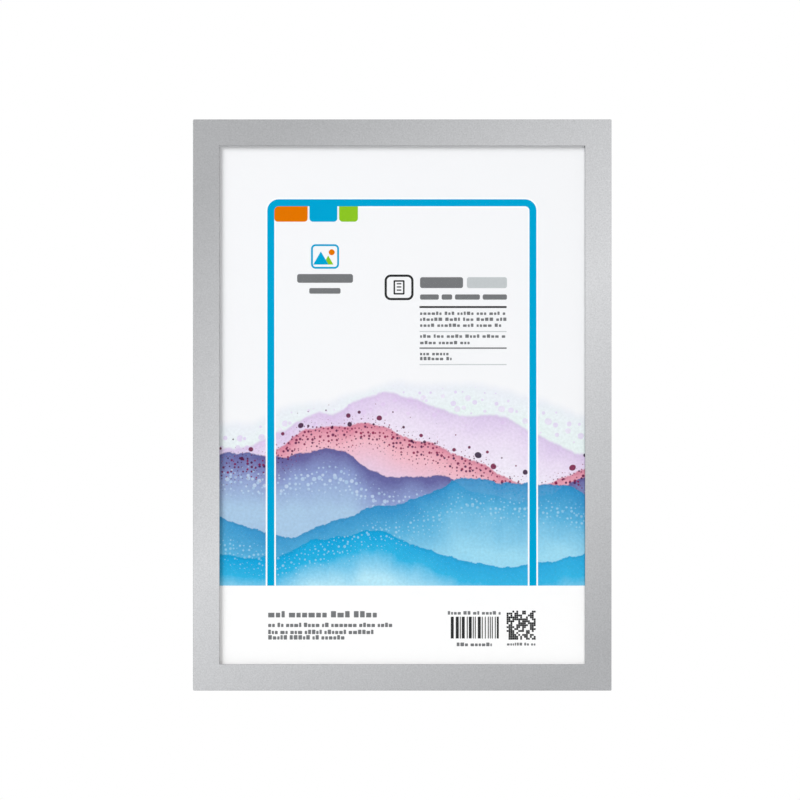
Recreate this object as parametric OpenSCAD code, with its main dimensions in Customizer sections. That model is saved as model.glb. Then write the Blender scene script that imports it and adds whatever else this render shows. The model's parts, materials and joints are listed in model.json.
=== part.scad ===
// Magnetic display frame for one A4 sheet. A self-adhesive back half carries the sheet, and a
// silver cover with a clear window folds open on a film hinge along its left edge. Flexible magnet
// strips in both halves hold the cover shut.
// It stands as it hangs on a wall: +X to the right, +Z up, and -Y towards the viewer. The origin is
// the centre of the outline, in the plane where the closed cover meets the back half.

/* [Sheet] */
// Width of the sheet on display
sheet_w = 210; // [100:1:300]
// Height of the sheet on display
sheet_h = 297; // [140:1:430]
// Thickness of the sheet
sheet_t = 0.15; // [0.08:0.01:0.4]
// Play between the sheet's edge and the magnet strips round it
sheet_play = 1; // [0.4:0.1:2]

/* [Cover] */
// Width of the silver band on all four sides
band_w = 15; // [10:0.5:30]
// How far the band laps over the sheet's edge
band_lap = 1; // [0.5:0.1:3]
// Thickness of the bezel
bezel_t = 0.5; // [0.3:0.05:1.2]
// Easing of the bezel's front edges, inside and outside
bezel_ease = 0.12; // [0.05:0.01:0.25]
// Radius of the outer corners of the bezel, the window film and the back panel
corner_r = 0.5; // [0.2:0.1:1.5]
// Thickness of the clear window film
window_t = 0.25; // [0.15:0.05:0.5]
// How far the window film stops short of the bezel's outer edge
window_setback = 0.3; // [0.1:0.1:1]

/* [Magnet strips] */
// Thickness of every magnet strip
magnet_t = 0.8; // [0.4:0.1:1.6]
// How far the strips stop short of the bezel's outer edge
magnet_setback = 0.5; // [0.3:0.1:2]
// Easing of the strips' long edges
magnet_ease = 0.1; // [0.05:0.01:0.15]
// Gap where one strip butts against the next at a corner
magnet_gap = 0.2; // [0.1:0.1:1]

/* [Back panel] */
// Thickness of the back panel
panel_t = 0.5; // [0.3:0.1:1.5]
// How far the panel stops short of the bezel's outer edge, so that a fingernail finds the cover
panel_setback = 0.5; // [0.2:0.1:1.5]

/* [Adhesive tape] */
// Width of every tape strip
tape_w = 12; // [6:0.5:20]
// Thickness of the tape
tape_t = 0.25; // [0.1:0.05:1]
// Distance from the panel's edge in to the tape
tape_inset = 1.5; // [0.5:0.5:5]
// Gap between two tape strips at a corner
tape_gap = 1; // [0.5:0.5:4]

/* [Glue] */
// Thickness of the glue line between two laminated layers, which the model leaves open
glue_t = 0.03; // [0.02:0.01:0.1]

/* [Film hinge] */
// Thickness of the hinge film and of the facing film beside it
film_t = 0.12; // [0.08:0.01:0.2]
// How far the fold lies outside the bezel's left edge
fold_reach = 0.2; // [0.1:0.05:0.5]
// Running clearance between the fold's bead and the cover's leaf
fold_play = 0.06; // [0.04:0.01:0.12]
// Gap between a hinge leaf and the facing film beside it
film_gap = 0.5; // [0.2:0.1:1.5]

/* [Hidden] */
// The four sides in the order of quarter turns about Y
SIDES = ["bottom", "left", "top", "right"];
$fn = 48;
// How far a cutting or trimming shape runs past what it cuts
overrun = 1;

// The opening is what shows of the sheet, and the recess is what the magnet strips leave for it.
opening_w = sheet_w - 2 * band_lap;
opening_h = sheet_h - 2 * band_lap;
outer_w = opening_w + 2 * band_w;
outer_h = opening_h + 2 * band_w;
recess_w = sheet_w + 2 * sheet_play;
recess_h = sheet_h + 2 * sheet_play;

panel_w = outer_w - 2 * panel_setback;
panel_h = outer_h - 2 * panel_setback;
window_w = outer_w - 2 * window_setback;
window_h = outer_h - 2 * window_setback;
rim_w = outer_w - 2 * magnet_setback;
rim_h = outer_h - 2 * magnet_setback;
magnet_w = (rim_w - recess_w) / 2;

// The rear faces of the layers: the cover's lie in front of the meeting plane, the back's behind it
meet_y = 0;
cover_film_y = meet_y;
cover_magnet_y = cover_film_y - film_t - glue_t;
window_y = cover_magnet_y - magnet_t - glue_t;
bezel_y = window_y - window_t - glue_t;
back_film_y = meet_y + film_t;
back_magnet_y = back_film_y + glue_t + magnet_t;
sheet_y = back_magnet_y;
panel_y = back_magnet_y + glue_t + panel_t;
tape_y = panel_y + tape_t;

// The fold line of the hinge, which is the axis that the cover turns about
fold_x = -outer_w / 2 - fold_reach;
leaf_inner_x = -recess_w / 2;

// A plate that stands upright, cut from a flat outline, from its rear face forward
module upright(rear_y, t) {
    translate([0, rear_y, 0]) rotate([90, 0, 0]) linear_extrude(t) children();
}

// A rectangle with round corners, centred
module rounded_outline(w, h, r) {
    square([w - 2 * r, h], center = true);
    square([w, h - 2 * r], center = true);
    for (x = [-1, 1], y = [-1, 1]) translate([x * (w / 2 - r), y * (h / 2 - r)]) circle(r);
}

// True for the two sides that run from left to right
function is_level(side) = side == "top" || side == "bottom";

// Sets what is drawn along the bottom edge, growing upwards, on any side of a w by h rectangle
module on_side(side, w, h) {
    turns = search([side], SIDES)[0];
    rotate([0, 90 * turns, 0]) translate([0, 0, -(is_level(side) ? h : w) / 2]) children();
}

// A straight bar along X, from a profile drawn as [distance inwards, distance forwards]
module bar(length, profile) {
    rotate(180, [1, 0, 1]) linear_extrude(length, center = true) polygon(profile);
}

// A flat strip's section with all four long edges eased
function strip_profile(w, t, ease) = [
    [ease, 0], [w - ease, 0], [w, ease], [w, t - ease],
    [w - ease, t], [ease, t], [0, t - ease], [0, ease]
];

// The section through a block whose sides run straight from its rear face to the bezel's easing, and
// then at 45 degrees to the front: inwards with a lean of -1, outwards with a lean of 1
function leaning_profile(size, lean) =
    let (half = size / 2, front_half = half + lean * (bezel_ease + overrun))
    [
        [-half, overrun], [half, overrun], [half, bezel_ease - bezel_t],
        [front_half, -bezel_t - overrun], [-front_half, -bezel_t - overrun],
        [-half, bezel_ease - bezel_t]
    ];

// A w by h block with such a section both ways, which runs past both faces of the bezel
module leaning_block(w, h, lean) {
    spare = 2 * (bezel_ease + overrun);
    intersection() {
        linear_extrude(h + spare, center = true) polygon(leaning_profile(w, lean));
        rotate([0, 90, 0]) linear_extrude(w + spare, center = true) polygon(leaning_profile(h, lean));
    }
}

// The silver band that shows from the front, one piece, eased round its outside and its opening
module front_bezel() {
    color("silver") translate([0, bezel_y, 0]) difference() {
        intersection() {
            upright(0, bezel_t) rounded_outline(outer_w, outer_h, corner_r);
            leaning_block(outer_w, outer_h, -1);
        }
        leaning_block(opening_w, opening_h, 1);
    }
}

// The clear sheet that closes the bezel's opening and joins the cover's pieces
module window_film() {
    color("azure", 0.3) upright(window_y, window_t) rounded_outline(window_w, window_h, corner_r);
}

// One magnet strip. Those at the top and bottom run the full width, the others stand between them.
module magnet_strip(side, rear_y) {
    length = is_level(side) ? rim_w : rim_h - 2 * magnet_w - 2 * magnet_gap;
    color([0.16, 0.13, 0.12]) translate([0, rear_y, 0]) on_side(side, rim_w, rim_h)
        bar(length, strip_profile(magnet_w, magnet_t, magnet_ease));
}

// The clear film over the magnet strips at the top, right and bottom, which keeps them clean
module facing_film(rear_y) {
    left_x = leaf_inner_x + film_gap;
    color("azure", 0.3) upright(rear_y, film_t) difference() {
        translate([left_x, -rim_h / 2]) square([rim_w / 2 - left_x, rim_h]);
        square([recess_w, recess_h], center = true);
    }
}

// The hinge film's leaf over the left magnet strip, from start_x in to the recess
module hinge_leaf(rear_y, start_x) {
    upright(rear_y, film_t) translate([start_x, -rim_h / 2]) square([leaf_inner_x - start_x, rim_h]);
}

// The back's leaf ends in a round bead, which is the folded film itself and lies on the hinge axis
module back_hinge_leaf() {
    color("azure", 0.3) {
        hinge_leaf(back_film_y, fold_x);
        translate([fold_x, meet_y, -rim_h / 2]) cylinder(h = rim_h, r = film_t);
    }
}

// The cover's leaf stops just short of the bead, so that it turns round it freely
module cover_hinge_leaf() {
    color("azure", 0.3) hinge_leaf(cover_film_y, fold_x + film_t + fold_play);
}

// The sheet on display, lying loose inside the back magnet strips, in front of the panel
module insert_sheet() {
    color("white") upright(sheet_y, sheet_t) square([sheet_w, sheet_h], center = true);
}

module back_panel() {
    color("whitesmoke") upright(panel_y, panel_t) rounded_outline(panel_w, panel_h, corner_r);
}

// One strip of double-sided tape on the panel's rear, laid out like the magnet strips
module adhesive_tape(side) {
    taped_w = panel_w - 2 * tape_inset;
    taped_h = panel_h - 2 * tape_inset;
    length = is_level(side) ? taped_w : taped_h - 2 * tape_w - 2 * tape_gap;
    color("lemonchiffon") on_side(side, taped_w, taped_h)
        upright(tape_y, tape_t) translate([-length / 2, 0]) square([length, tape_w]);
}

front_bezel();
window_film();
magnet_strip("top", cover_magnet_y);  // cover_magnet_top
magnet_strip("bottom", cover_magnet_y);  // cover_magnet_bottom
magnet_strip("left", cover_magnet_y);  // cover_magnet_left
magnet_strip("right", cover_magnet_y);  // cover_magnet_right
facing_film(cover_film_y);  // cover_facing_film
cover_hinge_leaf();
insert_sheet();
back_panel();
magnet_strip("top", back_magnet_y);  // back_magnet_top
magnet_strip("bottom", back_magnet_y);  // back_magnet_bottom
magnet_strip("left", back_magnet_y);  // back_magnet_left
magnet_strip("right", back_magnet_y);  // back_magnet_right
facing_film(back_film_y);  // back_facing_film
back_hinge_leaf();
adhesive_tape("top");  // adhesive_tape_top
adhesive_tape("bottom");  // adhesive_tape_bottom
adhesive_tape("left");  // adhesive_tape_left
adhesive_tape("right");  // adhesive_tape_right
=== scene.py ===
import json
import math
import random

import bpy
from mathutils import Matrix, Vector


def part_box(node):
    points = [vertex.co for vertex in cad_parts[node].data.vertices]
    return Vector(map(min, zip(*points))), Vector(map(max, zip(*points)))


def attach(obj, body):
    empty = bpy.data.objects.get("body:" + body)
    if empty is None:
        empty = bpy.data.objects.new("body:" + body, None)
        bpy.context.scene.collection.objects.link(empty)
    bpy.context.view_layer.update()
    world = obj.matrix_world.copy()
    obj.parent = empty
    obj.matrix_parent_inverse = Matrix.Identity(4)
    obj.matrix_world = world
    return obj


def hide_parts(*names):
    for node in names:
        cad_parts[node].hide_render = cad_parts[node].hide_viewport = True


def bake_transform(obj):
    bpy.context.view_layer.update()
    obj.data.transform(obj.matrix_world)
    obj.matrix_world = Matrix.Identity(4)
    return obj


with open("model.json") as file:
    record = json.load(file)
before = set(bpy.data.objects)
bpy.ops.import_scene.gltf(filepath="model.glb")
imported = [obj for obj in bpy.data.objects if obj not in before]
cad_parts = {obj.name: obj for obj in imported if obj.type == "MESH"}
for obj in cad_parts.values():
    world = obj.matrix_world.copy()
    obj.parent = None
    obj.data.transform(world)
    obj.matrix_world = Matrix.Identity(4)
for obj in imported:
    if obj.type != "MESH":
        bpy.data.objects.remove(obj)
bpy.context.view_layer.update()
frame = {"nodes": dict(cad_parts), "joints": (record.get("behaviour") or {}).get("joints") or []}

bl_info = {
    "name": "Magnetic Display Frame",
    "version": (1, 0, 0),
    "blender": (4, 5, 0),
    "location": "3D View > Sidebar > Display Frame",
    "description": "Dresses a magnetic display frame: silver bezel, films, magnet strips and print",
    "category": "Object",
}

# Lengths are written in millimetres and turned to metres with MM. Only those of the lamps, the
# floor and the camera's reach are written in metres.
MM = 0.001
# Points nearer to each other than this are merged.
WELD = 0.001 * MM
FRONT = Vector((0, -1, 0))
# Stands a flat shape up to face the front, and turns the camera to look from there.
UPRIGHT = (math.radians(90), 0, 0)
COVER = "cover"
BACK = "back_half"
SIDES = ("top", "bottom", "left", "right")

BEZEL_LOW, BEZEL_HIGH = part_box("front_bezel")
SHEET_LOW, SHEET_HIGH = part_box("insert_sheet")
LEAF_LOW, LEAF_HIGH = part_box("cover_hinge_leaf")
HINGE = Vector(frame["joints"][0]["pos_m"])
PAPER_FACE = SHEET_LOW.y


def linear(code):
    """Linear RGBA of an sRGB hex colour."""
    parts = (int(code[i:i + 2], 16) / 255 for i in (1, 3, 5))
    return (*(c / 12.92 if c <= 0.04045 else ((c + 0.055) / 1.055) ** 2.4 for c in parts), 1.0)


def colour_property(name, description, code):
    return bpy.props.FloatVectorProperty(
        name=name, description=description, subtype="COLOR", size=4, min=0, max=1,
        default=linear(code)
    )


def length_property(name, description, millimetres):
    return bpy.props.FloatProperty(
        name=name, description=description, unit="LENGTH", min=0, precision=5,
        default=millimetres * MM
    )


class BezelSettings(bpy.types.PropertyGroup):
    band_width: length_property("Band width", "Width of the silver band", 15)
    edge_ease: length_property("Edge ease", "Chamfer of the die-cut front edges", 0.12)
    corner_radius: length_property("Corner radius", "Rounding of the four outer corners", 0.5)
    # These two colours paint a sheen along one diagonal of the foil and a shade in its far corners.
    painted_sheen_silver: colour_property("Bright silver", "Foil along the bright diagonal", "#d9dadc")
    painted_shade_silver: colour_property("Dark silver", "Foil in the two darker corners", "#b4b5b7")


class SheetSettings(bpy.types.PropertyGroup):
    paper: colour_property("Paper", "Tinted ground of the sheet", "#f6f7f9")
    strip_top: bpy.props.FloatProperty(
        name="Strip top", unit="LENGTH", precision=5, default=-102.9 * MM,
        description="Height where the white strip begins, from the sheet's centre"
    )
    white: colour_property("White", "Ink under the rule", "#ffffff")
    cyan: colour_property("Cyan", "Ink of the rule, a tab and the picture icon", "#00a4d3")
    orange: colour_property("Orange", "Ink of a tab and the icon's sun", "#e27500")
    green: colour_property("Green", "Ink of a tab and the icon's far hill", "#8cc425")
    black: colour_property("Black", "Ink of the badge, a hairline, stripes and dots", "#2f3031")
    grey: colour_property("Grey", "Ink of the bars for words and of a hairline", "#77797b")
    pale: colour_property("Pale grey", "Ink of two hairlines and a light bar", "#c3c8ca")


class StudioSettings(bpy.types.PropertyGroup):
    camera_distance: length_property("Camera distance", "From the bezel's face", 2400)
    view_width: length_property("View width", "What the photograph spans at the bezel", 455.2)
    floor_drop: length_property("Floor drop", "From the frame's lower edge down to the floor", 140)
    fill: bpy.props.FloatProperty(
        name="Fill", min=0, default=0.22,
        description="Strength of the light from the white surroundings"
    )
    floor_lift: bpy.props.FloatProperty(
        name="Floor lift", min=0, default=0.2,
        description="What brings the floor up to the white of its surroundings"
    )


def deselect():
    if bpy.context.object and bpy.context.object.mode != "OBJECT":
        bpy.ops.object.mode_set(mode="OBJECT")
    bpy.ops.object.select_all(action="DESELECT")


def start_edit(name, scale=(1, 1, 1)):
    """Names the shape that was just added, applies its place and scale, and goes into edit mode."""
    piece = bpy.context.object
    piece.name = piece.data.name = name
    piece.scale = scale
    bpy.ops.object.transform_apply(location=True, rotation=True, scale=True)
    bpy.ops.object.mode_set(mode="EDIT")
    return piece


def start_plane(name, left, right, y, bottom, top):
    """Adds an upright plane that faces the front, and goes into edit mode on it."""
    deselect()
    bpy.ops.mesh.primitive_plane_add(
        size=1, location=((left + right) / 2, y, (bottom + top) / 2), rotation=UPRIGHT
    )
    return start_edit(name, scale=(right - left, top - bottom, 1))


def round_corners(radius, segments=8):
    bpy.ops.mesh.select_all(action="SELECT")
    bpy.ops.mesh.bevel(offset=radius, segments=segments, affect="VERTICES")


def leave_border(width):
    """Insets the whole face and deletes what is inside."""
    bpy.ops.mesh.select_all(action="SELECT")
    bpy.ops.mesh.inset(thickness=width, use_even_offset=True)
    bpy.ops.mesh.delete(type="FACE")


def select_by(piece, test, kind):
    """Selects the edges or faces whose centre passes a test."""
    bpy.ops.mesh.select_all(action="DESELECT")
    bpy.ops.mesh.select_mode(type=kind)
    bpy.ops.object.mode_set(mode="OBJECT")
    points, edges, faces = piece.data.vertices, piece.data.edges, piece.data.polygons
    if kind == "EDGE":
        centres = {edge: sum((points[i].co for i in edge.vertices), Vector()) / 2 for edge in edges}
    else:
        centres = {face: face.center for face in faces}
    chosen = [item for item, centre in centres.items() if test(centre)]
    for item in chosen:
        item.select = True
    bpy.ops.object.mode_set(mode="EDIT")
    if not chosen:
        raise RuntimeError(f"{piece.name}: nothing was selected")


def thicken(piece, thickness, offset):
    """Gives a surface a closed wall, to its front with an offset of 1, and both ways with 0."""
    bpy.ops.object.mode_set(mode="OBJECT")
    solid = piece.modifiers.new("thickness", "SOLIDIFY")
    solid.thickness = thickness
    solid.offset = offset
    bpy.ops.object.modifier_apply(modifier=solid.name)


def weld():
    """Merges points that lie together in the piece in edit mode, and turns its faces outwards."""
    bpy.ops.mesh.select_all(action="SELECT")
    bpy.ops.mesh.remove_doubles(threshold=WELD)
    bpy.ops.mesh.normals_make_consistent(inside=False)


def finish_piece(piece, body, slot, *materials):
    if piece.mode != "OBJECT":
        bpy.ops.object.mode_set(mode="OBJECT")
    piece.data.materials.clear()
    for material in materials:
        piece.data.materials.append(material)
    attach(piece, body)


def add_node(tree, kind, inputs=None, **settings):
    """Adds a shader node; inputs maps a socket's name or number to a value or to another socket."""
    new = tree.nodes.new(kind)
    for name, value in settings.items():
        setattr(new, name, value)
    for name, value in (inputs or {}).items():
        if isinstance(value, bpy.types.NodeSocket):
            tree.links.new(value, new.inputs[name])
        else:
            new.inputs[name].default_value = value
    return new


def start_material(name):
    """Returns a new material, its node tree, and the socket that holds the place on the piece."""
    material = bpy.data.materials.new(name)
    material.use_nodes = True
    tree = material.node_tree
    tree.nodes.clear()
    return material, tree, add_node(tree, "ShaderNodeTexCoord").outputs["Object"]


def dress_node(name, material):
    mesh = frame["nodes"][name].data
    mesh.materials.clear()
    mesh.materials.append(material)


def silver_foil(settings):
    """Silver-lacquered PVC foil: a satin metallic face with fine flakes. Its colour carries a
    painted sheen, brightest along one diagonal, and a painted shade in the two far corners."""
    material, tree, place = start_material("silver_lacquered_pvc")
    # The painted sheen's bright line rises to the right at this angle and passes this far under the
    # centre, and the painted shade is darkest at reach from it. Both lengths are in millimetres.
    slope, drop, reach = math.radians(36), 6.0, 172.0
    across = (math.sin(slope) / MM, 0, -math.cos(slope) / MM)
    beside = add_node(tree, "ShaderNodeVectorMath", {
        0: place, 1: across
    }, operation="DOT_PRODUCT").outputs["Value"]
    offset = add_node(tree, "ShaderNodeMath", {0: beside, 1: drop}, operation="SUBTRACT").outputs[0]
    distance = add_node(tree, "ShaderNodeMath", {0: offset}, operation="ABSOLUTE").outputs[0]
    share = add_node(tree, "ShaderNodeMapRange", {
        "Value": distance, "From Max": reach
    }).outputs["Result"]
    # The foil's colour goes from the painted sheen to the painted shade.
    sheen = add_node(tree, "ShaderNodeMix", {
        "Factor": share, "A": settings.painted_sheen_silver, "B": settings.painted_shade_silver
    }, data_type="RGBA").outputs["Result"]
    # Flakes of about 0.1 mm are too fine to show, so they are drawn as grains from 0.8 mm down.
    flakes = add_node(tree, "ShaderNodeTexNoise", {
        "Vector": place, "Scale": 1 / (0.8 * MM), "Detail": 4.0, "Roughness": 0.85
    }).outputs["Fac"]
    level = add_node(tree, "ShaderNodeMapRange", {
        "Value": flakes, "From Min": 0.25, "From Max": 0.75, "To Min": 0.79, "To Max": 1.21
    }).outputs["Result"]
    colour = add_node(tree, "ShaderNodeVectorMath", {
        0: sheen, 3: level
    }, operation="SCALE").outputs["Vector"]
    satin = add_node(tree, "ShaderNodeMapRange", {
        "Value": flakes, "From Min": 0.25, "From Max": 0.75, "To Min": 0.4, "To Max": 0.48
    }).outputs["Result"]
    bump = add_node(tree, "ShaderNodeBump", {
        "Height": flakes, "Strength": 0.12, "Distance": 0.02 * MM
    }).outputs["Normal"]
    shader = add_node(tree, "ShaderNodeBsdfPrincipled", {
        "Base Color": colour, "Metallic": 1.0, "Roughness": satin, "Normal": bump
    })
    add_node(tree, "ShaderNodeOutputMaterial", {"Surface": shader.outputs["BSDF"]})
    return material


def pvc_core():
    """The cut edge of hard PVC foil: an even, slightly rough plastic with faint marks from the die.
    They are about 0.1 mm apart, and are drawn from 0.6 mm down so that they show."""
    material, tree, place = start_material("pvc_core")
    marks = add_node(tree, "ShaderNodeTexNoise", {
        "Vector": place, "Scale": 1 / (0.6 * MM), "Detail": 3.0
    }).outputs["Fac"]
    bump = add_node(tree, "ShaderNodeBump", {
        "Height": marks, "Strength": 0.3, "Distance": 0.02 * MM
    }).outputs["Normal"]
    shader = add_node(tree, "ShaderNodeBsdfPrincipled", {
        "Base Color": linear("#8e9093"), "Roughness": 0.5, "IOR": 1.53, "Normal": bump
    })
    add_node(tree, "ShaderNodeOutputMaterial", {"Surface": shader.outputs["BSDF"]})
    return material


def clear_film(name, ior, roughness, tint, haze, rim=0.6, head_on=None):
    """Clear plastic film: what lies behind shows through, and it mirrors softly at a slant.
    Calendering leaves a faint waviness of a few centimetres. haze is the share of light that
    scatters, and rim is that share on the cut edges, which the blade leaves rough and greyish.
    head_on is the share that is mirrored straight back, where a coat against glare lowers it."""
    bare_share = ((ior - 1) / (ior + 1)) ** 2
    material, tree, place = start_material(name)
    waves = add_node(tree, "ShaderNodeTexNoise", {
        "Vector": place, "Scale": 1 / (45 * MM), "Detail": 1.0
    }).outputs["Fac"]
    bump = add_node(tree, "ShaderNodeBump", {
        "Height": waves, "Strength": 0.25, "Distance": 0.4 * MM
    }).outputs["Normal"]
    bare = add_node(tree, "ShaderNodeFresnel", {"IOR": ior, "Normal": bump}).outputs["Fac"]
    coated = add_node(tree, "ShaderNodeMapRange", {
        "Value": bare, "From Min": bare_share, "To Min": bare_share if head_on is None else head_on
    }).outputs["Result"]
    # Light isn't bent as it enters here, so at a slant the far face would throw all of it back.
    # Only the face that it enters by mirrors.
    far_face = add_node(tree, "ShaderNodeNewGeometry").outputs["Backfacing"]
    near_face = add_node(tree, "ShaderNodeMath", {
        0: 1.0, 1: far_face
    }, operation="SUBTRACT").outputs[0]
    mirrored = add_node(tree, "ShaderNodeMath", {
        0: coated, 1: near_face
    }, operation="MULTIPLY").outputs[0]
    through = add_node(tree, "ShaderNodeBsdfTransparent", {"Color": linear(tint)})
    # The film's faces look along Y, and its cut edges across it.
    normal = place.node.outputs["Normal"]
    facing = add_node(tree, "ShaderNodeSeparateXYZ", {0: normal}).outputs["Y"]
    flatness = add_node(tree, "ShaderNodeMath", {0: facing}, operation="ABSOLUTE").outputs[0]
    scattered = add_node(tree, "ShaderNodeMapRange", {
        "Value": flatness, "From Min": 0.4, "From Max": 0.6, "To Min": rim, "To Max": haze
    }).outputs["Result"]
    milk = add_node(tree, "ShaderNodeBsdfDiffuse", {"Color": linear("#d8dfdf")})
    body = add_node(tree, "ShaderNodeMixShader", {
        0: scattered, 1: through.outputs["BSDF"], 2: milk.outputs["BSDF"]
    })
    mirror = add_node(tree, "ShaderNodeBsdfGlossy", {
        "Color": (1, 1, 1, 1), "Roughness": roughness, "Normal": bump
    })
    surface = add_node(tree, "ShaderNodeMixShader", {
        0: mirrored, 1: body.outputs["Shader"], 2: mirror.outputs["BSDF"]
    })
    add_node(tree, "ShaderNodeOutputMaterial", {"Surface": surface.outputs["Shader"]})
    return material


def ferrite_rubber(direction, scale):
    """Flexible magnet, ferrite powder bound in rubber: matt dark brown, with fine lines along the
    strip from its extrusion. scale is that of the lines on X, Y and Z, small along the strip."""
    material, tree, place = start_material(f"ferrite_rubber_{direction}")
    # The powder is far too fine to show, and is drawn as the blotches that it gathers in.
    powder = add_node(tree, "ShaderNodeTexNoise", {
        "Vector": place, "Scale": 1 / (0.9 * MM), "Detail": 4.0
    })
    drawn = add_node(tree, "ShaderNodeMapping", {"Vector": place, "Scale": scale}).outputs["Vector"]
    # The lines are about 0.2 mm apart, and are drawn 0.7 mm apart so that they show.
    lines = add_node(tree, "ShaderNodeTexNoise", {
        "Vector": drawn, "Scale": 1 / (0.7 * MM), "Detail": 2.0
    })
    mixed = add_node(tree, "ShaderNodeMix", {
        "Factor": 0.5, "A": powder.outputs["Fac"], "B": lines.outputs["Fac"]
    }).outputs["Result"]
    shade = add_node(tree, "ShaderNodeMapRange", {"Value": mixed, "From Min": 0.3, "From Max": 0.7})
    colour = add_node(tree, "ShaderNodeMix", {
        "Factor": shade.outputs["Result"], "A": linear("#191412"), "B": linear("#322824")
    }, data_type="RGBA").outputs["Result"]
    bump = add_node(tree, "ShaderNodeBump", {
        "Height": mixed, "Strength": 0.5, "Distance": 0.05 * MM
    }).outputs["Normal"]
    shader = add_node(tree, "ShaderNodeBsdfPrincipled", {
        "Base Color": colour, "Roughness": 0.62, "IOR": 1.5, "Normal": bump
    })
    add_node(tree, "ShaderNodeOutputMaterial", {"Surface": shader.outputs["BSDF"]})
    return material


def tissue_tape():
    """Double-sided tissue tape: glue on a web of short paper fibres, off-white and a bit waxy."""
    material, tree, place = start_material("tissue_tape")
    # Fibres are about 0.03 mm thick, so the web is drawn coarser, as streaks from 1.6 mm down.
    web = add_node(tree, "ShaderNodeTexNoise", {
        "Vector": place, "Scale": 1 / (1.6 * MM), "Detail": 5.0, "Distortion": 1.5
    }).outputs["Fac"]
    colour = add_node(tree, "ShaderNodeMix", {
        "Factor": web, "A": linear("#e3dcc0"), "B": linear("#f3efdf")
    }, data_type="RGBA").outputs["Result"]
    bump = add_node(tree, "ShaderNodeBump", {
        "Height": web, "Strength": 0.5, "Distance": 0.05 * MM
    }).outputs["Normal"]
    shader = add_node(tree, "ShaderNodeBsdfPrincipled", {
        "Base Color": colour, "Roughness": 0.38, "IOR": 1.47, "Normal": bump
    })
    add_node(tree, "ShaderNodeOutputMaterial", {"Surface": shader.outputs["BSDF"]})
    return material


def ink(name, colour):
    """Offset ink on coated paper: almost matt, and very slightly mottled by the paper's tooth. The
    tooth is finer than that, and is drawn from 1.2 mm down so that it shows."""
    material, tree, place = start_material(name)
    tooth = add_node(tree, "ShaderNodeTexNoise", {
        "Vector": place, "Scale": 1 / (1.2 * MM), "Detail": 3.0
    }).outputs["Fac"]
    level = add_node(tree, "ShaderNodeMapRange", {
        "Value": tooth, "From Min": 0.3, "From Max": 0.7, "To Min": 0.98, "To Max": 1.02
    }).outputs["Result"]
    shade = add_node(tree, "ShaderNodeVectorMath", {
        0: tuple(colour)[:3], 3: level
    }, operation="SCALE").outputs["Vector"]
    shader = add_node(tree, "ShaderNodeBsdfPrincipled", {
        "Base Color": shade, "Roughness": 0.5, "IOR": 1.5, "Specular IOR Level": 0.03
    })
    add_node(tree, "ShaderNodeOutputMaterial", {"Surface": shader.outputs["BSDF"]})
    return material


# The picture on the sheet: misty hills in wet colours, from the farthest to the nearest. Lengths
# are in millimetres from the sheet's centre. Each hill has the height of its crest, the crest's
# wave (height, length, shift), the softness of its edge, the depth over which its colour thins
# out, its opacity, and its colours from the crest down.
HILLS = (
    (6, (13, 255, 46), 7.0, 55, 0.75, ("#e9edf6", "#e2f1ef", "#eef4f6")),
    (-9, (17, 235, 60), 2.2, 36, 0.8, ("#d9bfe8", "#ead8f2", "#f1eaf7")),
    (-25, (15, 225, 84), 1.3, 26, 0.9, ("#d97c93", "#f0b3c0", "#e6c6dc")),
    (-37, (13, 245, 128), 1.0, 34, 0.92, ("#4c5798", "#8299cb", "#a3c8e4")),
    (-55, (13, 262, 8), 0.8, 42, 0.95, ("#2f93c9", "#55b0da", "#9ddaf0")),
    (-80, (8, 180, 72), 0.8, 28, 0.92, ("#00a3da", "#1fb0e0", "#b9e8f7")),
)

# Drops on the picture. Each kind has the number of the hill that it is laid over, and of the hill
# whose crest it follows, the depths under that crest where it begins, is fullest and ends, the
# spacing and greatest radius of its drops, their opacity, and the two colours theirs lie between.
DROPS = (
    (0, 0, (3, 14, 34), 6.5, 2.4, 0.5, ("#d6b6ea", "#ecdcf4")),
    (3, 2, (-8, 5, 22), 2.3, 1.05, 0.92, ("#8e1b4a", "#3c1c4a")),
    (3, 2, (-14, -3, 7), 9.0, 2.3, 0.95, ("#7c1546", "#2c1738")),
    (3, 3, (5, 16, 30), 3.1, 1.5, 0.5, ("#dceefa", "#bcdcf0")),
    (5, 4, (4, 15, 34), 2.7, 1.0, 0.35, ("#d8f0fb", "#b8e2f4")),
)


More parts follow.
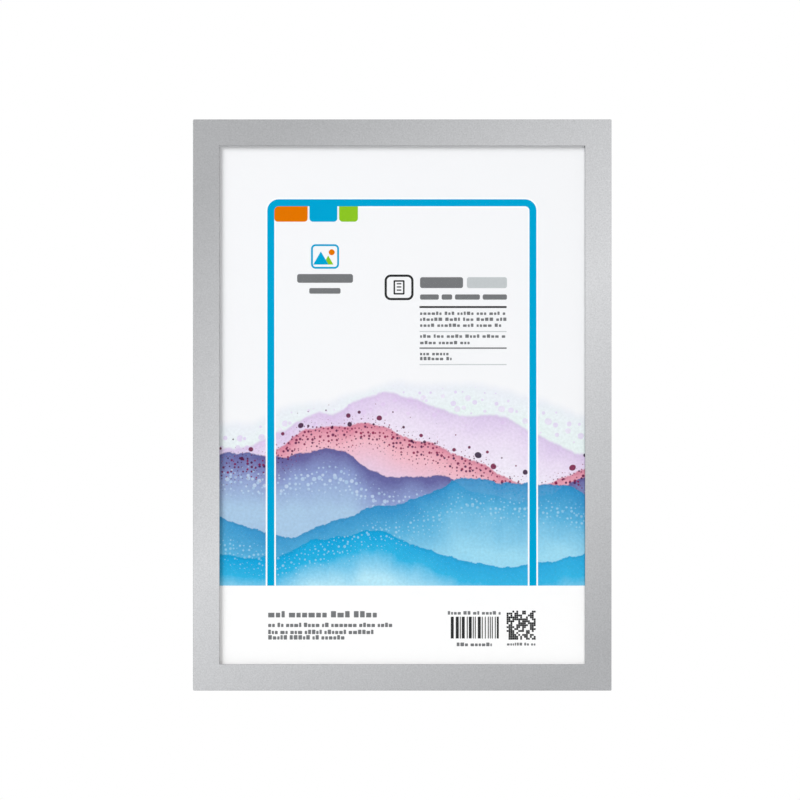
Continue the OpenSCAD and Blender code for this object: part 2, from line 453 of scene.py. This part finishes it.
def add_hill(tree, number, hill, x, z, fine, mottle, below):
    """Lays one hill over the picture so far. Returns the picture and the depth under its crest."""
    level, (height, length, shift), softness, fade, opacity, colours = hill
    turn = 2 * math.pi / length
    angle = add_node(tree, "ShaderNodeMath", {
        0: x, 1: turn, 2: shift * turn
    }, operation="MULTIPLY_ADD").outputs[0]
    wave = add_node(tree, "ShaderNodeMath", {0: angle}, operation="SINE").outputs[0]
    # Each hill's outline is a slice of its own through one rough ground, frayed by the fine grain.
    # sink takes out about what the ground's bumps raise the crest by.
    slice_gap, bump_length, bump_height, fray, sink = 90.0, 46, 26.0, 2.0, 14.0
    slice_place = add_node(tree, "ShaderNodeCombineXYZ", {
        "X": x, "Y": slice_gap * number
    }).outputs["Vector"]
    ground = add_node(tree, "ShaderNodeTexNoise", {
        "Vector": slice_place, "Scale": 1 / bump_length, "Detail": 5.0, "Roughness": 0.45
    }, noise_dimensions="2D").outputs["Fac"]
    swell = add_node(tree, "ShaderNodeMath", {
        0: wave, 1: float(height), 2: float(level)
    }, operation="MULTIPLY_ADD").outputs[0]
    rough = add_node(tree, "ShaderNodeMath", {
        0: ground, 1: bump_height, 2: swell
    }, operation="MULTIPLY_ADD").outputs[0]
    frayed = add_node(tree, "ShaderNodeMath", {
        0: fine, 1: fray, 2: rough
    }, operation="MULTIPLY_ADD").outputs[0]
    crest = add_node(tree, "ShaderNodeMath", {0: frayed, 1: sink}, operation="SUBTRACT").outputs[0]
    depth = add_node(tree, "ShaderNodeMath", {0: crest, 1: z}, operation="SUBTRACT").outputs[0]
    thinning = add_node(tree, "ShaderNodeMapRange", {
        "Value": depth, "From Max": float(fade)
    }).outputs["Result"]
    patchiness = 0.5
    uneven = add_node(tree, "ShaderNodeMath", {
        0: mottle, 1: patchiness, 2: thinning
    }, operation="MULTIPLY_ADD").outputs[0]
    wash = add_node(tree, "ShaderNodeValToRGB", {"Fac": uneven})
    stops = (0.05, 0.4, 1)
    wash.color_ramp.elements.new(stops[1])
    for stop, position, colour in zip(wash.color_ramp.elements, stops, colours):
        stop.position = position
        stop.color = linear(colour)
    # Wet paint dries darkest in a thin line along its edge, most of all where that is crisp.
    line_width, line_shade = 1.6, 0.1 / softness
    edge = add_node(tree, "ShaderNodeMapRange", {
        "Value": depth, "From Min": softness, "From Max": softness + line_width,
        "To Min": 1.0 - line_shade
    }).outputs["Result"]
    dried = add_node(tree, "ShaderNodeVectorMath", {
        0: wash.outputs["Color"], 3: edge
    }, operation="SCALE").outputs["Vector"]
    cover = add_node(tree, "ShaderNodeMapRange", {
        "Value": depth, "From Max": softness, "To Max": opacity
    }, interpolation_type="SMOOTHSTEP").outputs["Result"]
    picture = add_node(tree, "ShaderNodeMix", {
        "Factor": cover, "A": below, "B": dried
    }, data_type="RGBA").outputs["Result"]
    return picture, depth


def fading(tree, value, rise, full, fall):
    """1 where the value is near full, falling to 0 at rise and at fall."""
    up = add_node(tree, "ShaderNodeMapRange", {"Value": value, "From Min": rise, "From Max": full})
    down = add_node(tree, "ShaderNodeMapRange", {
        "Value": value, "From Min": full, "From Max": fall, "To Min": 1.0, "To Max": 0.0
    })
    return add_node(tree, "ShaderNodeMath", {
        0: up.outputs["Result"], 1: down.outputs["Result"]
    }, operation="MINIMUM").outputs[0]


def add_drops(tree, flat, below, near, spacing, greatest, opacity, colours):
    """Sprinkles round drops over the picture. near is the socket that says, from 0 to 1, how large
    they are at a place."""
    least, soft_edge = 0.4 * greatest, 0.25
    # One cell of the pattern is as wide as the drops are apart, so lengths are divided by that.
    scaled = add_node(tree, "ShaderNodeVectorMath", {
        0: flat, 3: 1 / spacing
    }, operation="SCALE").outputs["Vector"]
    cells = add_node(tree, "ShaderNodeTexVoronoi", {
        "Vector": scaled, "Scale": 1.0, "Randomness": 0.85
    }, voronoi_dimensions="2D")
    chance = add_node(tree, "ShaderNodeSeparateColor", {"Color": cells.outputs["Color"]})
    varied = add_node(tree, "ShaderNodeMapRange", {
        "Value": chance.outputs["Red"], "To Min": least / spacing, "To Max": greatest / spacing
    }).outputs["Result"]
    radius = add_node(tree, "ShaderNodeMath", {0: varied, 1: near}, operation="MULTIPLY").outputs[0]
    inside = add_node(tree, "ShaderNodeMath", {
        0: radius, 1: cells.outputs["Distance"]
    }, operation="SUBTRACT").outputs[0]
    cover = add_node(tree, "ShaderNodeMapRange", {
        "Value": inside, "From Max": soft_edge / spacing, "To Max": opacity
    }).outputs["Result"]
    shade = add_node(tree, "ShaderNodeMix", {
        "Factor": chance.outputs["Green"], "A": linear(colours[0]), "B": linear(colours[1])
    }, data_type="RGBA").outputs["Result"]
    return add_node(tree, "ShaderNodeMix", {
        "Factor": cover, "A": below, "B": shade
    }, data_type="RGBA").outputs["Result"]


def printed_paper(settings):
    """Coated paper of about 120 g: smooth and slightly satin, tinted where it is printed. The front
    carries a picture of misty hills above a white strip; the rear is bare."""
    material, tree, place = start_material("printed_paper")
    parts = add_node(tree, "ShaderNodeSeparateXYZ", {0: place}).outputs
    # The picture is laid out in millimetres. Its washes are cloudy and grainy, and the grain of the
    # paper and its tooth are drawn coarser than they are, from these lengths down, to show at all.
    cloud, grain, tooth = 24, 1.6, 0.7
    x, z = (
        add_node(tree, "ShaderNodeMath", {
            0: parts[axis], 1: 1 / MM
        }, operation="MULTIPLY").outputs[0] for axis in ("X", "Z")
    )
    flat = add_node(tree, "ShaderNodeCombineXYZ", {"X": x, "Y": z}).outputs["Vector"]
    clouds = add_node(tree, "ShaderNodeTexNoise", {
        "Vector": flat, "Scale": 1 / cloud, "Detail": 4.0
    }).outputs["Fac"]
    grains = add_node(tree, "ShaderNodeTexNoise", {
        "Vector": flat, "Scale": 1 / grain, "Detail": 3.0
    }).outputs["Fac"]
    # The hills take both centred on 0.
    fine = add_node(tree, "ShaderNodeMath", {0: grains, 1: 0.5}, operation="SUBTRACT").outputs[0]
    mottle = add_node(tree, "ShaderNodeMath", {0: clouds, 1: 0.5}, operation="SUBTRACT").outputs[0]
    picture = tuple(settings.paper)
    depths = []
    for number, hill in enumerate(HILLS):
        picture, depth = add_hill(tree, number, hill, x, z, fine, mottle, picture)
        depths.append(depth)
        for over, followed, span, *drops in DROPS:
            if over == number:
                near = fading(tree, depths[followed], *span)
                picture = add_drops(tree, flat, picture, near, *drops)
    # Pigment settles into the paper's grain, and the bare ground above the hills stays even.
    settled = add_node(tree, "ShaderNodeMapRange", {
        "Value": grains, "From Min": 0.25, "From Max": 0.75, "To Min": 0.93, "To Max": 1.07
    }).outputs["Result"]
    inked = add_node(tree, "ShaderNodeMapRange", {
        "Value": depths[0], "From Max": 12.0
    }).outputs["Result"]
    grainy = add_node(tree, "ShaderNodeMix", {
        "Factor": inked, "A": 1.0, "B": settled
    }).outputs["Result"]
    painted = add_node(tree, "ShaderNodeVectorMath", {
        0: picture, 3: grainy
    }, operation="SCALE").outputs["Vector"]
    over_strip = add_node(tree, "ShaderNodeMath", {
        0: z, 1: settings.strip_top / MM
    }, operation="GREATER_THAN").outputs[0]
    in_front = add_node(tree, "ShaderNodeMath", {
        0: parts["Y"], 1: (SHEET_LOW.y + SHEET_HIGH.y) / 2
    }, operation="LESS_THAN").outputs[0]
    printed = add_node(tree, "ShaderNodeMath", {
        0: over_strip, 1: in_front
    }, operation="MULTIPLY").outputs[0]
    colour = add_node(tree, "ShaderNodeMix", {
        "Factor": printed, "A": linear("#fefefe"), "B": painted
    }, data_type="RGBA").outputs["Result"]
    surface = add_node(tree, "ShaderNodeTexNoise", {
        "Vector": flat, "Scale": 1 / tooth, "Detail": 3.0
    }).outputs["Fac"]
    bump = add_node(tree, "ShaderNodeBump", {
        "Height": surface, "Strength": 0.15, "Distance": 0.01 * MM
    }).outputs["Normal"]
    shader = add_node(tree, "ShaderNodeBsdfPrincipled", {
        "Base Color": colour, "Roughness": 0.55, "IOR": 1.45, "Specular IOR Level": 0.12,
        "Normal": bump
    })
    add_node(tree, "ShaderNodeOutputMaterial", {"Surface": shader.outputs["BSDF"]})
    return material


class DISPLAYFRAME_OT_studio(bpy.types.Operator):
    """Adds the camera, the white surroundings, the floor and the lamps"""

    bl_idname = "display_frame.studio"
    bl_label = "Studio"

    def execute(self, context):
        settings = context.scene.frame_studio
        self.add_camera(context, settings)
        self.add_surroundings(context, settings)
        self.add_floor(settings)
        # The key lamp, large and high at the left, throws the band's soft shadow on the sheet, and
        # the front lamp lightens that. The rear lamp lights the tape and the panel.
        self.add_lamp("front_lamp", (0.55, -3.0, -0.1), size=0.3, power=27.4, in_gloss=False)
        self.add_lamp("key_lamp", (-2.83, -3.18, 2.63), size=3.2, power=186.0, in_gloss=False)
        self.add_lamp("rear_lamp", (0.7, 1.3, 0.8), size=0.9, power=19.0, in_gloss=True)
        return {"FINISHED"}

    def add_camera(self, context, settings):
        # The photograph is 800 pixels wide and high, and this pixel of it shows the frame's centre.
        photo_size = 800
        centre_x, centre_y = 402.3, 405.0
        scale = settings.view_width / photo_size
        data = bpy.data.cameras.new("camera")
        data.sensor_width = 36
        data.lens = data.sensor_width * settings.camera_distance / settings.view_width
        data.clip_end = 20
        camera = bpy.data.objects.new("camera", data)
        context.scene.collection.objects.link(camera)
        camera.location = (
            (photo_size / 2 - centre_x) * scale, BEZEL_LOW.y - settings.camera_distance,
            (centre_y - photo_size / 2) * scale
        )
        camera.rotation_euler = UPRIGHT
        context.scene.camera = camera

    def add_surroundings(self, context, settings):
        world = bpy.data.worlds.new("white_surroundings")
        world.use_nodes = True
        tree = world.node_tree
        tree.nodes.clear()
        # The surroundings are seen white, mirrored or through a film too. They light with less.
        path = add_node(tree, "ShaderNodeLightPath")
        seen = path.outputs["Is Camera Ray"]
        for ray in ("Is Glossy Ray", "Is Transmission Ray"):
            seen = add_node(tree, "ShaderNodeMath", {
                0: seen, 1: path.outputs[ray]
            }, operation="MAXIMUM").outputs[0]
        lighting = add_node(tree, "ShaderNodeBackground", {
            "Color": (1, 1, 1, 1), "Strength": settings.fill
        })
        backdrop = add_node(tree, "ShaderNodeBackground", {"Color": (1, 1, 1, 1), "Strength": 1.0})
        mixed = add_node(tree, "ShaderNodeMixShader", {
            0: seen, 1: lighting.outputs["Background"], 2: backdrop.outputs["Background"]
        })
        add_node(tree, "ShaderNodeOutputWorld", {"Surface": mixed.outputs["Shader"]})
        context.scene.world = world

    def add_floor(self, settings):
        radius, fade_start, fade_end = 0.8, 0.3, 0.75
        deselect()
        bpy.ops.mesh.primitive_circle_add(
            vertices=96, radius=radius, fill_type="NGON",
            location=(0, 0, BEZEL_LOW.z - settings.floor_drop)
        )
        floor = bpy.context.object
        floor.name = floor.data.name = "studio_floor"
        material, tree, place = start_material("white_floor")
        away = add_node(tree, "ShaderNodeVectorMath", {
            0: place
        }, operation="LENGTH").outputs["Value"]
        # Towards its rim the floor looks like the white surroundings, mirrored or not.
        rim = add_node(tree, "ShaderNodeMapRange", {
            "Value": away, "From Min": fade_start, "From Max": fade_end
        })
        path = add_node(tree, "ShaderNodeLightPath")
        # The light that it throws back on the frame is that of a duller floor.
        dull = add_node(tree, "ShaderNodeBsdfDiffuse", {"Color": linear("#bcbcbc")})
        plain = add_node(tree, "ShaderNodeBsdfDiffuse", {"Color": linear("#eeeeee")})
        lift = add_node(tree, "ShaderNodeEmission", {
            "Color": (1, 1, 1, 1), "Strength": settings.floor_lift
        })
        lifted = add_node(tree, "ShaderNodeAddShader", {
            0: plain.outputs["BSDF"], 1: lift.outputs["Emission"]
        })
        white = add_node(tree, "ShaderNodeEmission", {"Color": (1, 1, 1, 1), "Strength": 1.0})
        faded = add_node(tree, "ShaderNodeMixShader", {
            0: rim.outputs["Result"], 1: lifted.outputs["Shader"], 2: white.outputs["Emission"]
        })
        looked_at = add_node(tree, "ShaderNodeMath", {
            0: path.outputs["Is Camera Ray"], 1: path.outputs["Is Glossy Ray"]
        }, operation="MAXIMUM").outputs[0]
        seen = add_node(tree, "ShaderNodeMixShader", {
            0: looked_at, 1: dull.outputs["BSDF"], 2: faded.outputs["Shader"]
        })
        # A camera under the floor looks through it.
        below = add_node(tree, "ShaderNodeNewGeometry").outputs["Backfacing"]
        clear = add_node(tree, "ShaderNodeBsdfTransparent")
        surface = add_node(tree, "ShaderNodeMixShader", {
            0: below, 1: seen.outputs["Shader"], 2: clear.outputs["BSDF"]
        })
        add_node(tree, "ShaderNodeOutputMaterial", {"Surface": surface.outputs["Shader"]})
        floor.data.materials.append(material)

    def add_lamp(self, name, place, size, power, in_gloss):
        """Aims a round lamp at the frame's centre. in_gloss says whether surfaces mirror it."""
        data = bpy.data.lights.new(name, "AREA")
        data.shape = "DISK"
        data.size = size
        data.energy = power
        lamp = bpy.data.objects.new(name, data)
        bpy.context.scene.collection.objects.link(lamp)
        lamp.location = place
        lamp.rotation_euler = (-Vector(place)).to_track_quat("-Z", "Y").to_euler()
        lamp.visible_camera = False
        lamp.visible_glossy = in_gloss


class DISPLAYFRAME_OT_bezel(bpy.types.Operator):
    """Models the silver bezel, one die-cut ring of foil with softened edges"""

    bl_idname = "display_frame.bezel"
    bl_label = "Silver bezel"

    def execute(self, context):
        settings = context.scene.frame_bezel
        low, high = BEZEL_LOW, BEZEL_HIGH
        ease = settings.edge_ease
        wall = Vector((0, high.y - low.y - ease, 0))
        bezel = start_plane("silver_bezel", low.x, high.x, high.y, low.z, high.z)
        round_corners(settings.corner_radius, segments=4)
        bpy.ops.mesh.select_all(action="SELECT")
        bpy.ops.mesh.extrude_region_move(TRANSFORM_OT_translate={"value": -wall})
        bpy.ops.mesh.inset(thickness=ease, depth=ease)
        # Four cuts leave a face in the middle, front and rear, as large as the opening's eased rim.
        reach = settings.band_width - ease
        for corner, inwards in ((low, 1), (high, -1)):
            for direction in (Vector((1, 0, 0)), Vector((0, 0, 1))):
                bpy.ops.mesh.select_all(action="SELECT")
                cut = corner + direction * reach * inwards
                bpy.ops.mesh.bisect(plane_co=cut, plane_no=direction)
        front = low.y + ease / 2
        select_by(bezel, lambda centre: self.in_middle(centre) and centre.y < front, "FACE")
        bpy.ops.mesh.inset(thickness=ease, depth=-ease)
        bpy.ops.mesh.extrude_region_move(TRANSFORM_OT_translate={"value": wall})
        bpy.ops.mesh.delete(type="FACE")
        # The rear one is drawn in to the opening itself.
        select_by(bezel, self.in_middle, "FACE")
        bpy.ops.mesh.inset(thickness=ease)
        bpy.ops.mesh.delete(type="FACE")
        weld()
        finish_piece(bezel, COVER, "silver_foil", silver_foil(settings), pvc_core())
        # The silver is on the flat front alone. The eased edges, at 45 degrees, show the core.
        nearly_flat = math.cos(math.radians(30))
        for face in bezel.data.polygons:
            face.material_index = 0 if face.normal.dot(FRONT) > nearly_flat else 1
        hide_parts("front_bezel")
        return {"FINISHED"}

    def in_middle(self, centre):
        """True for a face that fills the opening."""
        return abs(centre.x) < MM and abs(centre.z) < MM


class DISPLAYFRAME_OT_films(bpy.types.Operator):
    """Finishes the window film, the facing films over the magnet strips, and the back panel"""

    bl_idname = "display_frame.films"
    bl_label = "Films and panel"

    def execute(self, context):
        # PVC and PP have an IOR of about 1.5. These are lower, for the photograph's quiet gloss.
        window = clear_film(
            "window_film_pvc", ior=1.3, roughness=0.08, tint="#ffffff", haze=0.0, head_on=0.001
        )
        facing = clear_film("facing_film_pp", ior=1.35, roughness=0.25, tint="#fafbfb", haze=0.015)
        panel = clear_film("panel_pvc", ior=1.45, roughness=0.15, tint="#fbfcfc", haze=0.04)
        dress_node("window_film", window)
        dress_node("cover_facing_film", facing)
        dress_node("back_facing_film", facing)
        dress_node("back_panel", panel)
        return {"FINISHED"}


class DISPLAYFRAME_OT_magnets(bpy.types.Operator):
    """Finishes the eight flexible magnet strips"""

    bl_idname = "display_frame.magnets"
    bl_label = "Magnet strips"

    def execute(self, context):
        along = 0.02
        level = ferrite_rubber("level", (along, 1, 1))
        upright = ferrite_rubber("upright", (1, 1, along))
        for half in ("cover", "back"):
            for side in SIDES:
                dress_node(f"{half}_magnet_{side}", level if side in ("top", "bottom") else upright)
        return {"FINISHED"}


class DISPLAYFRAME_OT_hinge_film(bpy.types.Operator):
    """Models the hinge as the one folded film that it is"""

    bl_idname = "display_frame.hinge_film"
    bl_label = "Hinge film"

    def execute(self, context):
        leaf = LEAF_HIGH.y - LEAF_LOW.y
        # The film is a little thinner than a leaf, so that its two halves don't touch when shut.
        thickness = 0.92 * leaf
        film = start_plane(
            "hinge_film", HINGE.x, LEAF_HIGH.x, HINGE.y + leaf / 2, LEAF_LOW.z, LEAF_HIGH.z
        )
        select_by(film, lambda centre: abs(centre.x - HINGE.x) < WELD, "EDGE")
        bpy.ops.mesh.spin(steps=8, angle=-math.pi, center=HINGE, axis=(0, 0, 1))
        bpy.ops.mesh.extrude_region_move(TRANSFORM_OT_translate={
            "value": (LEAF_HIGH.x - HINGE.x, 0, 0)
        })
        weld()
        thicken(film, thickness, offset=0)
        bpy.ops.object.shade_smooth_by_angle(angle=math.radians(40))
        # The fold looks sideways as a cut edge does, so the rim's haze is the film's own.
        film.data.materials.append(clear_film(
            "hinge_film_pp", ior=1.35, roughness=0.2, tint="#fafbfb", haze=0.03, rim=0.03
        ))
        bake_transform(film)
        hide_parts("back_hinge_leaf", "cover_hinge_leaf")
        return {"FINISHED"}


class DISPLAYFRAME_OT_tape(bpy.types.Operator):
    """Finishes the four strips of double-sided tape on the rear"""

    bl_idname = "display_frame.tape"
    bl_label = "Adhesive tape"

    def execute(self, context):
        tape = tissue_tape()
        for side in SIDES:
            dress_node(f"adhesive_tape_{side}", tape)
        return {"FINISHED"}


class DISPLAYFRAME_OT_sheet(bpy.types.Operator):
    """Prints the sheet's picture"""

    bl_idname = "display_frame.sheet"
    bl_label = "Printed sheet"

    def execute(self, context):
        dress_node("insert_sheet", printed_paper(context.scene.frame_sheet))
        return {"FINISHED"}


# The thickness of one layer of ink. Real ink is about 0.002 mm thick, and this stands clear of the
# paper. A print that lies over another has more layers.
INK = 0.01 * MM


def finish_ink(piece, colour_name, layers):
    """Gives a flat shape its layers of ink, in a colour from the settings."""
    thicken(piece, layers * INK, offset=1)
    colour = getattr(bpy.context.scene.frame_sheet, colour_name)
    material = bpy.data.materials.get(f"{colour_name}_ink") or ink(f"{colour_name}_ink", colour)
    finish_piece(piece, BACK, "paper", material)


# Every print below is placed in millimetres from the sheet's centre.
def ink_bars(name, colour_name, bars, radius, segments=2):
    """One printed piece of many bars, each (left, right, bottom, top), with softened corners."""
    (left, right, bottom, top), *others = bars
    piece = start_plane(name, left * MM, right * MM, PAPER_FACE, bottom * MM, top * MM)
    for left, right, bottom, top in others:
        centre = ((left + right) / 2 * MM, PAPER_FACE, (bottom + top) / 2 * MM)
        bpy.ops.mesh.select_all(action="DESELECT")
        bpy.ops.mesh.primitive_plane_add(size=MM, rotation=UPRIGHT, location=centre)
        bpy.ops.transform.resize(value=(right - left, 1, top - bottom), center_override=centre)
    round_corners(radius * MM, segments)
    finish_ink(piece, colour_name, layers=2)


def ink_block(name, colour_name, left, right, bottom, top, radius):
    """A printed block with well rounded corners."""
    ink_bars(name, colour_name, [(left, right, bottom, top)], radius, segments=8)


def ink_ring(name, colour_name, left, right, bottom, top, radius, stroke, layers=2, cut=None):
    """A printed outline with rounded corners, cut off under a height where one is given."""
    piece = start_plane(name, left * MM, right * MM, PAPER_FACE, bottom * MM, top * MM)
    round_corners(radius * MM)
    leave_border(stroke * MM)
    if cut is not None:
        bpy.ops.mesh.select_all(action="SELECT")
        bpy.ops.mesh.bisect(plane_co=(0, 0, cut * MM), plane_no=(0, 0, 1), clear_inner=True)
    finish_ink(piece, colour_name, layers)


def ink_polygon(name, colour_name, x, z, radius, sides, layers=2):
    """A printed disc, or with three sides a triangle that stands on its base."""
    deselect()
    bpy.ops.mesh.primitive_circle_add(
        vertices=sides, radius=radius * MM, fill_type="NGON", rotation=UPRIGHT,
        location=(x * MM, PAPER_FACE, z * MM)
    )
    finish_ink(start_edit(name), colour_name, layers)


def word_bars(chance, left, right, base, height, wide, gap):
    """Bars that stand for a line of words, one for each letter, as in a layout before its text.
    wide is a letter's usual greatest width, and gap is the space between two letters."""
    # How many letters a word has, and how wide a letter is drawn against its usual greatest width
    shortest, longest, narrow, broad = 2, 6, 0.55, 1.1
    word_gap, least_room, low_height, tall_chance = 3 * gap, 0.4 * wide, 0.74 * height, 0.35
    bars = []
    x = left
    letters = chance.randint(shortest, longest)
    while x < right - least_room:
        width = min(wide * chance.uniform(narrow, broad), right - x)
        tall = chance.random() < tall_chance
        bars.append((x, x + width, base, base + (height if tall else low_height)))
        letters -= 1
        x += width + (gap if letters else word_gap)
        letters = letters or chance.randint(shortest, longest)
    return bars


class DISPLAYFRAME_OT_rule(bpy.types.Operator):
    """Prints the rounded rule on its white ground, and the three tabs that hang from it"""

    bl_idname = "display_frame.rule"
    bl_label = "Rule and tabs"

    def execute(self, context):
        settings = context.scene.frame_sheet
        left, right, top, radius, stroke = -76.9, 76.4, 117.2, 6.5, 4.0
        # The ground shows this far on both sides of the rule.
        ground = 0.9
        # The rule runs down to the white strip: it is made a closed ring, longer by spare, and cut
        # off there.
        cut, spare = settings.strip_top / MM, 20
        bottom = cut - spare
        ink_ring(
            "print_rule_ground", "white", left - ground, right + ground, bottom, top + ground,
            radius=radius + ground, stroke=stroke + 2 * ground, layers=1, cut=cut
        )
        ink_ring("print_rule", "cyan", left, right, bottom, top, radius, stroke, layers=3, cut=cut)
        # The tabs hang down from the rule by drop, and reach up behind it by overlap.
        drop, overlap, gap = 8.8, 2.5, 1.0
        under = top - stroke
        start = left + stroke
        for name, width in (("orange", 19.0), ("cyan", 15.9), ("green", 10.7)):
            ink_block(
                f"print_tab_{name}", name, start, start + width, under - drop, under + overlap,
                radius=2.0
            )
            start += width + gap
        return {"FINISHED"}


class DISPLAYFRAME_OT_icons(bpy.types.Operator):
    """Prints a plain picture icon and a badge with a page on it"""

    bl_idname = "display_frame.icons"
    bl_label = "Icons"

    def execute(self, context):
        ink_ring("print_icon_frame", "cyan", -52, -36, 77.6, 91.6, radius=2.6, stroke=1.1)
        ink_polygon("print_icon_sun", "orange", -40.2, 87.0, radius=1.7, sides=24)
        # The hills are triangles on one ground, and their centres are half a radius over it.
        ground = 80.0
        ink_polygon("print_icon_far_hill", "green", -42.2, ground + 1.7, radius=3.4, sides=3)
        ink_polygon(
            "print_icon_near_hill", "cyan", -46.4, ground + 2.5, radius=5.0, sides=3, layers=3
        )
        ink_ring("print_badge", "black", -10.1, 6.4, 59.7, 74.3, radius=3.5, stroke=1.3)
        ink_ring("print_badge_page", "black", -5.0, 1.3, 62.9, 71.1, radius=0.6, stroke=0.9)
        lines = [(-3.2, -0.5, z, z + 0.7) for z in (65.1, 66.9, 68.7)]
        ink_bars("print_badge_lines", "black", lines, radius=0.2)
        return {"FINISHED"}


class DISPLAYFRAME_OT_lines(bpy.types.Operator):
    """Prints plain bars that stand for lines of words, and four hairlines"""

    bl_idname = "display_frame.lines"
    bl_label = "Placeholder lines"

    def execute(self, context):
        chance = random.Random(5)
        ink_block("print_name", "grey", -59.9, -28.1, 69.6, 74.6, radius=1.3)
        ink_block("print_name_second", "grey", -53.0, -35.2, 63.4, 66.6, radius=0.9)
        column = 10.1
        ink_block("print_heading", "grey", column, 34.6, 66.6, 72.8, radius=1.3)
        ink_block("print_heading_light", "pale", 36.8, 59.6, 66.6, 72.8, radius=1.3)
        words = ((column, 20.8), (22.4, 28.4), (30.0, 44.2), (45.8, 59.6))
        bars = [(start, end, 60.0, 63.0) for start, end in words]
        ink_bars("print_subheading", "grey", bars, radius=0.8)
        # The hairlines' height, width and colour
        left, right = 9.8, 59.4
        hairlines = (
            (55.8, 1.1, "black"), (41.8, 0.5, "pale"), (32.4, 0.8, "grey"), (23.0, 0.5, "pale")
        )
        for number, (height, width, colour_name) in enumerate(hairlines):
            low, high = height - width / 2, height + width / 2
            ink_block(f"print_hairline_{number}", colour_name, left, right, low, high, radius=0.1)
        # The height of each line's middle, and its length
        text = (
            (52.3, 49.3), (48.9, 49.3), (45.5, 47.5), (39.3, 49.5), (35.6, 30), (29.3, 18),
            (26.5, 18)
        )
        bars = []
        for middle, length in text:
            bars += word_bars(
                chance, column, column + length, base=middle - 1.0, height=1.9, wide=1.9, gap=0.6
            )
        ink_bars("print_text", "grey", bars, radius=0.2)
        margin = -76.4
        bars = word_bars(chance, margin, -13.8, base=-121.0, height=3.6, wide=3.3, gap=0.8)
        for middle, length in ((-125.2, 72), (-129.2, 61), (-132.3, 44)):
            bars += word_bars(
                chance, margin, margin + length, base=middle - 1.3, height=2.5, wide=2.2, gap=0.5
            )
        ink_bars("print_address", "grey", bars, radius=0.25)
        return {"FINISHED"}


class DISPLAYFRAME_OT_fields(bpy.types.Operator):
    """Prints a field of plain stripes and a field of dots, which encode nothing"""

    bl_idname = "display_frame.fields"
    bl_label = "Stripes and dots"

    def execute(self, context):
        chance = random.Random(11)
        # Stripes and their gaps are one or more steps wide. A step is about a pixel of the photo.
        step = 0.57
        x, right, bottom, top = 27.6, 55.3, -133.0, -120.6
        stripes = []
        while x < right - step:
            width = min(chance.choice((1, 1, 2, 3)) * step, right - x)
            stripes.append((x, x + width, bottom, top))
            x += width + chance.choice((1, 1, 2)) * step
        ink_bars("print_stripes", "black", stripes, radius=0.05)
        # Somewhat over half of the cells have a dot.
        filled = 0.55
        cells, left, bottom, size = 15, 59.4, -133.7, 16.6
        pitch = size / cells
        width = 0.96 * pitch
        dots = []
        for row in range(cells):
            for column in range(cells):
                if chance.random() < filled:
                    x, z = left + column * pitch, bottom + row * pitch
                    dots.append((x, x + width, z, z + width))
        ink_bars("print_dots", "black", dots, radius=0.12)
        captions = word_bars(chance, 25.9, 56.0, base=-119.4, height=2.0, wide=2.0, gap=0.5)
        captions += word_bars(chance, 31.0, 51.0, base=-137.4, height=2.1, wide=2.0, gap=0.5)
        captions += word_bars(chance, 59.6, 75.8, base=-137.0, height=1.6, wide=1.4, gap=0.4)
        ink_bars("print_captions", "grey", captions, radius=0.15)
        return {"FINISHED"}


class DISPLAYFRAME_PT_panel(bpy.types.Panel):
    bl_idname = "DISPLAYFRAME_PT_panel"
    bl_label = "Display Frame"
    bl_space_type = "VIEW_3D"
    bl_region_type = "UI"
    bl_category = "Display Frame"

    def draw(self, context):
        for operator in OPERATORS:
            self.layout.operator(operator.bl_idname)
        for name in SETTINGS:
            group = getattr(context.scene, name)
            for key in group.bl_rna.properties.keys():
                if key not in ("rna_type", "name"):
                    self.layout.prop(group, key)


OPERATORS = (
    DISPLAYFRAME_OT_studio, DISPLAYFRAME_OT_bezel, DISPLAYFRAME_OT_films, DISPLAYFRAME_OT_magnets,
    DISPLAYFRAME_OT_hinge_film, DISPLAYFRAME_OT_tape, DISPLAYFRAME_OT_sheet, DISPLAYFRAME_OT_rule,
    DISPLAYFRAME_OT_icons, DISPLAYFRAME_OT_lines, DISPLAYFRAME_OT_fields,
)
SETTINGS = {
    "frame_bezel": BezelSettings, "frame_sheet": SheetSettings, "frame_studio": StudioSettings
}
CLASSES = (*SETTINGS.values(), *OPERATORS, DISPLAYFRAME_PT_panel)


def register():
    for cls in CLASSES:
        bpy.utils.register_class(cls)
    for name, group in SETTINGS.items():
        setattr(bpy.types.Scene, name, bpy.props.PointerProperty(type=group))


def unregister():
    for name in SETTINGS:
        delattr(bpy.types.Scene, name)
    for cls in reversed(CLASSES):
        bpy.utils.unregister_class(cls)


def main():
    register()
    bpy.context.scene.view_settings.view_transform = "Standard"
    for operator in OPERATORS:
        category, name = operator.bl_idname.split(".")
        getattr(getattr(bpy.ops, category), name)()
    deselect()


if __name__ == "__main__":
    main()
